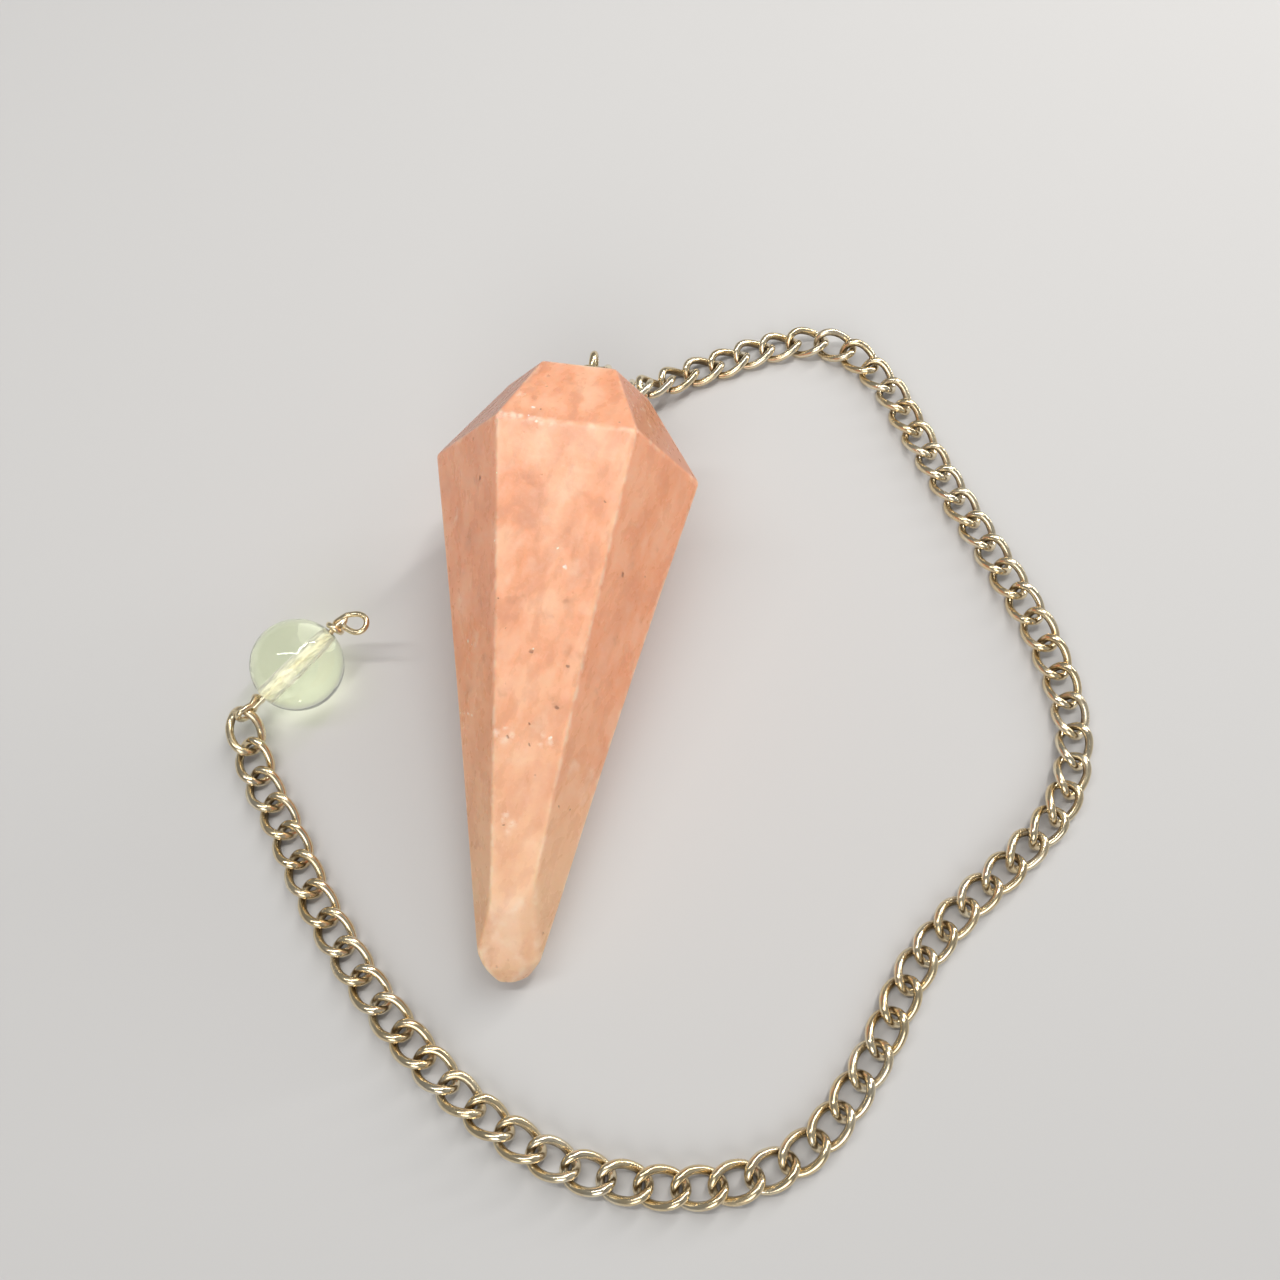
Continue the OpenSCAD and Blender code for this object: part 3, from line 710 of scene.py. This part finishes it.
def makeChain():
    # every link is a wire swept round its own twisted outline, at even steps along the route
    route, run, pitch = chainRoute()
    links = math.ceil(run[-1] / pitch)
    step = run[-1] / links
    rolls = np.array(chain["rolls"])

    def rollAt(s):
        return np.interp(s / run[-1], rolls[:, 0], rolls[:, 1])

    def at(s):
        p = np.stack([np.interp(s, run, route[:, k]) for k in range(3)], axis=-1)
        p[..., 2] = np.maximum(p[..., 2], 0) + restingHeight(rollAt(s))
        return p

    s = (np.arange(links) + 0.5) * step
    x = unit(at(s + step / 2) - at(s - step / 2))
    y = unit(np.cross([0, 0, 1.0], x))
    z = np.cross(x, y)
    cut, spread = chain["cutAt"], chain["cutSpread"]
    t = np.arange(chain["stations"]) * 360 / chain["stations"]
    t = t[np.abs(t - cut) > chain["cutClear"] * spread]
    t = np.sort(np.concatenate([t, cut + spread * np.array(chain["cutStations"])]))
    own, turn = linkPoint(radians(t)[None], rollAt(s)[:, None])
    basis = np.stack([x, y, z], axis=1)[:, None]
    line = at(s)[:, None] + (own[..., None, :] @ basis)[..., 0, :]
    ups = np.cos(turn)[..., None] * z[:, None] - np.sin(turn)[..., None] * y[:, None]
    way, up, across = frames(line, ups)
    k = 2 * math.pi * np.arange(chain["sides"]) / chain["sides"]
    pinch = 1 - chain["cutDepth"] * np.exp(-((t - cut) / spread) ** 2)
    radius = chain["drawn"] / 2 * pinch[None, :, None, None]
    ringWay = np.cos(k)[:, None] * up[:, :, None] + np.sin(k)[:, None] * across[:, :, None]
    points = line[:, :, None] + radius * ringWay
    middle = line.mean(axis=1)[:, None, None]
    inward = -(unit(points - middle) * ringWay).sum(axis=-1)
    cutMark = np.exp(-((t - cut) / (chain["cutDirt"] * spread)) ** 2)
    cutMark = np.broadcast_to(cutMark[None, :, None], inward.shape)
    shade = np.broadcast_to(np.sin(np.arange(links) * chain["shadeTurn"])[:, None, None], inward.shape)
    faces = np.concatenate([gridFaces(len(t), chain["sides"], True, i * len(t) * chain["sides"])
                            for i in range(links)])
    # inward and below darken the metal: painted shade inside the links and on their undersides
    marks = {"inward": inward, "cut": cutMark, "shade": shade, "below": (1 - ringWay[..., 2]) / 2}
    paint = metalPaint("pale_gold_tarnish_and_shade", 1.0)
    piece = meshFrom("chain_links", points.reshape(-1, 3), [faces], paint, marks)
    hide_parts("chain")


metal = {
    # the dark tint paints shade inside the links and on their undersides, along with tarnish in patches
    "plain": (0.82, 0.67, 0.42), "bright": (0.87, 0.77, 0.57), "patch": (0.62, 0.42, 0.26),
    "tarnishAndShade": (0.14, 0.095, 0.05), "cut": (0.06, 0.04, 0.03),
}


def metalPaint(name, darkening):
    # pale gold over brass: brown tarnish in patches and at the cuts, and painted shade inside the links and
    # on their undersides
    paint = Paint(name)
    at = paint.place()
    cloud = paint.noise(at, 0.35, 3, 0.6)
    patch = paint.noise(at, 1.6, 5, 0.65)
    grain = paint.noise(at, 9.0, 3, 0.6)
    inward, cut, shade, below = (paint.mark(x) for x in ("inward", "cut", "shade", "below"))
    # painted shade inside the links and on their undersides, plus tarnish in patches
    tarnishAndShade = (inward * 0.4 + below * 0.75 + patch * 0.8 - 0.4 + shade * 0.05).step(0.2, 0.8) * (0.9 * darkening)
    colour = paint.mix(cloud.step(0.4, 0.65), metal["plain"], metal["bright"])
    colour = paint.mix(patch.step(0.52, 0.7) * 0.4 * darkening, colour, metal["patch"])
    colour = paint.mix(tarnishAndShade, colour, metal["tarnishAndShade"])
    colour = paint.mix(cut * 0.85, colour, metal["cut"])
    paint.put(paint.shader, {
        "Base Color": colour, "Metallic": 1.0,
        "Roughness": (0.16 + 0.14 * patch + 0.3 * tarnishAndShade + 0.04 * shade).held(0.08, 0.8),
        "Normal": paint.bump(patch + 0.3 * grain, 0.012)})
    return paint.material


def sweep(line, ups, radius, sides):
    # a closed wire along an open line, rounded off by two smaller rings and a pole past each end
    way = unit(np.gradient(line, axis=0))
    up = unit(ups - (ups * way).sum(axis=1, keepdims=True) * way)
    across = np.cross(way, up)
    k = 2 * math.pi * np.arange(sides) / sides
    ring = np.cos(k)[:, None] * up[:, None] + np.sin(k)[:, None] * across[:, None]
    # their size and how far out they lie, in radii; then the poles
    small, out, pole = np.array([0.78, 0.97])[:, None, None], np.array([0.14, 0.06])[:, None, None], 0.16
    start = line[0] + small * radius * ring[0] - out * radius * way[0]
    end = line[-1] + small[::-1] * radius * ring[-1] + out[::-1] * radius * way[-1]
    points = np.concatenate([start, line[:, None] + radius * ring, end])
    rings = np.concatenate([ring[:1], ring[:1], ring, ring[-1:], ring[-1:]])
    poles = np.array([line[0] - pole * radius * way[0], line[-1] + pole * radius * way[-1]])
    return np.concatenate([points.reshape(-1, 3), poles]), tubeFaces(len(points), sides), rings


def carriedUps(line, first):
    # a side direction carried along the line, kept square to it
    way = unit(np.gradient(line, axis=0))
    ups = [unit(first - first @ way[0] * way[0])]
    for w in way[1:]:
        ups.append(unit(ups[-1] - ups[-1] @ w * w))
    return np.array(ups)


def wireMarks(rings, points):
    # the same marks as the chain's; only how far each side looks down, which paints shade below, differs
    zeros = np.zeros(len(points))
    below = np.concatenate([(1 - rings[..., 2].ravel()) / 2, [0.5, 0.5]])
    return {"inward": zeros, "cut": zeros, "shade": zeros, "below": below}


bead = {
    "size": 6, "bore": 0.9, "place": (-27, 0.7), "heading": 49, "rise": 15, "wire": 0.36, "play": 0.08,
    "freeWraps": 1, "freeSize": (2.15, 1.4), "freeBend": 58, "heldWraps": 0.5, "heldSize": (1.75, 1.6),
    "heldRoll": 95, "dropWidth": 0.77, "wrapStations": 12, "drawn": 0.38, "sides": 16, "curveSteps": 5,
    # the loop's stations in degrees: first, past the last, apart
    "loopTurns": (40, 321, 20.0),
    # the bead's mesh: rings outside and in the bore, columns, and room left at the bore's mouth
    "rings": 90, "boreRings": 24, "columns": 128, "mouthAngle": 0.02, "mouthGap": 0.08,
    "glass": (0.96, 0.985, 0.88, 1), "frostAndSheen": (1.0, 0.97, 0.84, 1), "shadowTint": (0.78, 0.82, 0.70, 1),
}


def wrappedLoop(size, wraps, bend, roll):
    # from the cut end of the wrap, round the loop and back to the neck, in the bead wire's own frame
    wire = bead["wire"]
    pitch, start = wrapSizes()
    neck = start + wraps * pitch
    part = 360 / bead["wrapStations"]
    a = np.arange(0, 360 * wraps - part + 0.001, part)
    coil = np.stack([start + pitch * a / 360, pitch * np.cos(radians(a - 360 * wraps)),
                     pitch * np.sin(radians(a - 360 * wraps))], axis=1)
    u = np.arange(*bead["loopTurns"])
    along = (size[0] - wire) / 2 * (1 - np.cos(radians(u)))
    across = (size[1] - wire) / 2 / bead["dropWidth"] * np.sin(radians(u)) * np.sin(radians(u / 2)) \
        + pitch * (1 - u / 360)
    b = math.radians(bend)
    eye = np.stack([neck + wire / 2 + along * math.cos(b) + across * math.sin(b),
                    across * math.cos(b) - along * math.sin(b), 0 * u], axis=1)
    keys = np.concatenate([coil, eye, [[neck, 0, 0]]])
    r = math.radians(roll)
    return np.stack([keys[:, 0], keys[:, 1] * math.cos(r) - keys[:, 2] * math.sin(r),
                     keys[:, 1] * math.sin(r) + keys[:, 2] * math.cos(r)], axis=1)


def layBead(points):
    # from the bead wire's frame, with +X towards the free loop, to where the bead rests
    x = beadAxis()
    y = unit(np.cross([0, 0, 1.0], x))
    z = np.cross(x, y)
    return beadCentre() + np.asarray(points) @ np.stack([x, y, z])


def makeBeadWire():
    # both wrapped loops' lines, joined through the bore
    freeHalf = wrappedLoop(bead["freeSize"], bead["freeWraps"], bead["freeBend"], 0)
    heldHalf = wrappedLoop(bead["heldSize"], bead["heldWraps"], 0, bead["heldRoll"]) * [-1, 1, 1]
    keys = np.concatenate([freeHalf, heldHalf[::-1]])
    line = layBead(catmull(keys, bead["curveSteps"]))
    ups = carriedUps(line, np.array([0.0, 0, 1]))
    points, faces, rings = sweep(line, ups, bead["drawn"] / 2, bead["sides"])
    paint = metalPaint("pale_gold_wire", 0.35)
    piece = meshFrom("bead_wire_wrapped", points, faces, paint, wireMarks(rings, points))
    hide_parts("bead_wire")


pin = {
    "wire": 0.5, "eye": 2.3, "neck": 0.9, "clearance": 0.1, "sides": 20, "curveSteps": 3,
    # the ring: from, to and stations; the shank's stations and how far below the neck it ends; its bend
    "turns": (-60, 241, 40), "shank": 14, "neckDrop": 0.1, "bend": (0.04, 0.18),
}


def makeEyePin():
    # shank up from the bore's floor, a short bend, then round the ring almost back to the neck
    radius = (pin["eye"] - pin["wire"]) / 2
    centre = stone["crown"] + pin["neck"] + pin["eye"] / 2
    foot = stone["crown"] - stone["boreDepth"] + pin["clearance"]
    turn = radians(np.linspace(*pin["turns"]))
    ring = np.stack([np.zeros_like(turn), radius * np.cos(turn), centre + radius * np.sin(turn)], axis=1)
    neck = stone["crown"] + pin["neck"] - pin["neckDrop"]
    shank = np.linspace([0, 0, foot], [0, 0, neck], pin["shank"])
    keys = np.concatenate([shank, [[0, pin["bend"][0], neck + pin["bend"][1]]], ring])
    line = layStone(catmull(keys, pin["curveSteps"]) + [stone["boreOffset"], 0, 0])
    ups = carriedUps(line, np.array([1.0, 0, 0]))
    points, faces, rings = sweep(line, ups, pin["wire"] / 2, pin["sides"])
    paint = metalPaint("pale_gold_pin", 0.5)
    piece = meshFrom("eye_pin_bent", points, faces, paint, wireMarks(rings, points))
    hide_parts("eye_pin")


def glassPaint():
    # clear glass, its bore frosted by the drill, its pale cream partly a painted sheen along the bore
    paint = Paint("clear_green_glass")
    at = paint.place()
    wave = paint.bump(paint.noise(at, 0.4, 2) + 0.08 * paint.noise(at, 2.5, 2), 0.06)
    paint.put(paint.shader, {"Base Color": bead["glass"], "Roughness": 0.0, "IOR": 1.5,
                             "Transmission Weight": 1.0, "Normal": wave})
    scored = paint.noise(paint.place((0.4, 2.5, 2.5), -bead["heading"]), 1.6, 3, 0.6).step(0.35, 0.65)
    # the bore's frosting, pale cream: partly the drill's frosting, partly a painted sheen along the bore
    frostAndSheen = paint.add("ShaderNodeBsdfPrincipled", {}, {
        "Base Color": bead["frostAndSheen"], "Roughness": 0.45, "IOR": 1.5, "Transmission Weight": 0.3})
    share = paint.mark("bored") * (0.4 + 0.5 * scored)
    clear = Sock(paint, paint.shader.outputs[0])
    both = paint.add("ShaderNodeMixShader", {}, {0: share, 1: clear, 2: frostAndSheen})
    # lamps shine through the glass, faintly tinted, on what lies below it
    tint = paint.add("ShaderNodeBsdfTransparent", {}, {"Color": bead["shadowTint"]})
    lit = paint.add("ShaderNodeLightPath", out="Is Shadow Ray")
    paint.put(paint.tree.nodes["Material Output"], {
        "Surface": paint.add("ShaderNodeMixShader", {}, {0: lit, 1: both, 2: tint})})
    return paint.material


def makeBead():
    # the bead's outline turned about its bore: over the sphere, round the bore's mouth and back inside
    radius, bore = bead["size"] / 2, bead["bore"] / 2
    mouth = math.asin(bore / radius)
    room, gap, columns = bead["mouthAngle"], bead["mouthGap"], bead["columns"]
    a = np.linspace(mouth + room, math.pi - mouth - room, bead["rings"])
    outside = np.stack([radius * np.cos(a), radius * np.sin(a)], axis=1)
    edge = radius * math.cos(mouth)
    inside = np.linspace([-edge + gap, bore], [edge - gap, bore], bead["boreRings"])
    profile = np.concatenate([outside, inside])
    k = np.linspace(0, 2 * math.pi, columns, endpoint=False)
    points = np.stack([np.broadcast_to(profile[:, :1], (len(profile), columns)),
                       profile[:, 1:] * np.cos(k), profile[:, 1:] * np.sin(k)], axis=-1)
    bored = np.repeat(np.arange(len(profile)) >= len(outside), columns)
    faces = gridFaces(len(profile), columns, True)[:, ::-1]
    laid = layBead(points.reshape(-1, 3))
    piece = meshFrom("bead_glass", laid, [faces], glassPaint(), {"bored": bored})
    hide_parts("bead")


makeStone()
print("stone made")
makeChain()
print("chain made")
makeBead()
makeBeadWire()
makeEyePin()
print("bead, bead wire and eye pin made")


# Floor and light
studio = {
    "floor": (0.6, 0.595, 0.59, 1), "floorHalf": 2.0, "world": 0.22, "worldColour": (0.95, 0.97, 1.0, 1),
    # what the lamps point at, in metres as all of this dictionary's places and lengths
    "aim": (0.005, 0, 0),
    # a wide soft lamp, far off: where it shines from, how wide it looks in degrees, strength, colour
    "sun": ((0.0, -0.28, 0.2), 40, 1.04, (1.0, 0.98, 0.95)),
    # name, place, width, length, power, colour
    "lamps": [("right", (0.28, -0.04, 0.17), 0.25, 0.25, 0.03, (1.0, 1.0, 1.0)),
              ("back", (0.02, 0.18, 0.28), 0.16, 0.16, 0.05, (1.0, 0.98, 0.95))],
    # thin lamps, placed so that the bead shows them at these pixels, as the photograph's bead does
    "strips": [(277, 655), (297, 654), (306, 643), (314, 642), (325, 653)],
    "stripWidth": 0.013, "stripFar": 0.28, "stripGlow": 26, "stripColour": (1.0, 0.98, 0.95),
}


def hangLamp(data, place, toward, along):
    # lights shine along their own -Z; their own Y follows the given direction
    lamp = bpy.data.objects.new(data.name, data)
    bpy.context.scene.collection.objects.link(lamp)
    lamp.location = place
    back = (Vector(place) - Vector(toward)).normalized()
    side = Vector(along).cross(back).normalized()
    lamp.rotation_mode = "QUATERNION"
    lamp.rotation_quaternion = Matrix((side, back.cross(side), back)).transposed().to_quaternion()


def addLamp(name, place, toward, width, length, power, colour, along=(0, 1, 0)):
    # a lamp with a lit rectangle, its length along the given direction
    data = bpy.data.lights.new(name, "AREA")
    data.shape, data.size, data.size_y = "RECTANGLE", width, length
    data.energy, data.color = power, colour
    hangLamp(data, place, toward, along)


def addSun(place, wide, strength, colour):
    # a lamp so far off that its light comes alike everywhere
    data = bpy.data.lights.new("front", "SUN")
    data.angle, data.energy, data.color = math.radians(wide), strength, colour
    hangLamp(data, place, studio["aim"], (1, 0, 0))


def mirrored(pixels, far):
    # where a lamp hangs that the bead mirrors at each pixel: the ray, less twice its part along the normal
    start, centre = np.array(view["place"]), beadCentre()
    rays = unit(pixelRays(np.array(pixels)))
    b = rays @ (start - centre)
    t = -b - np.sqrt(np.maximum(b * b - ((start - centre) ** 2).sum() + (bead["size"] / 2) ** 2, 0))
    hit = start + t[:, None] * rays
    normal = unit(hit - centre)
    return hit * mm + far * (rays - 2 * (rays * normal).sum(axis=1)[:, None] * normal)


def makeStudio():
    # a plain floor below the lowest solid, an even sky, the soft lamps, and the strips for the bead
    side = studio["floorHalf"]
    mesh = bpy.data.meshes.new("floor")
    z = lowCad.z
    corners = [(-side, -side, z), (side, -side, z), (side, side, z), (-side, side, z)]
    mesh.from_pydata(corners, [], [(0, 1, 2, 3)])
    floor = bpy.data.objects.new("floor", mesh)
    bpy.context.scene.collection.objects.link(floor)
    paint = Paint("plain_floor")
    paint.put(paint.shader, {"Base Color": studio["floor"], "Roughness": 1.0, "Specular IOR Level": 0.0})
    mesh.materials.append(paint.material)
    floor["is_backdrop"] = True
    world = bpy.data.worlds.new("studio")
    bpy.context.scene.world = world
    world.use_nodes = True
    sky = world.node_tree.nodes["Background"].inputs
    sky["Color"].default_value, sky["Strength"].default_value = studio["worldColour"], studio["world"]
    addSun(*studio["sun"])
    for name, place, width, length, power, colour in studio["lamps"]:
        addLamp(name, place, studio["aim"], width, length, power, colour)
    ends = mirrored(studio["strips"], studio["stripFar"])
    for i in range(len(ends) - 1):
        run = ends[i + 1] - ends[i]
        length = float(np.linalg.norm(run))
        middle, wide = (ends[i] + ends[i + 1]) / 2, studio["stripWidth"]
        power = math.pi * studio["stripGlow"] * wide * length
        addLamp(f"strip{i}", middle, beadCentre() * mm, wide, length, power, studio["stripColour"], run)
    bpy.context.scene.view_settings.view_transform = "Standard"


makeStudio()
print("floor and light set")

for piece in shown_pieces():
    print(piece.name, len(piece.data.polygons), "faces")
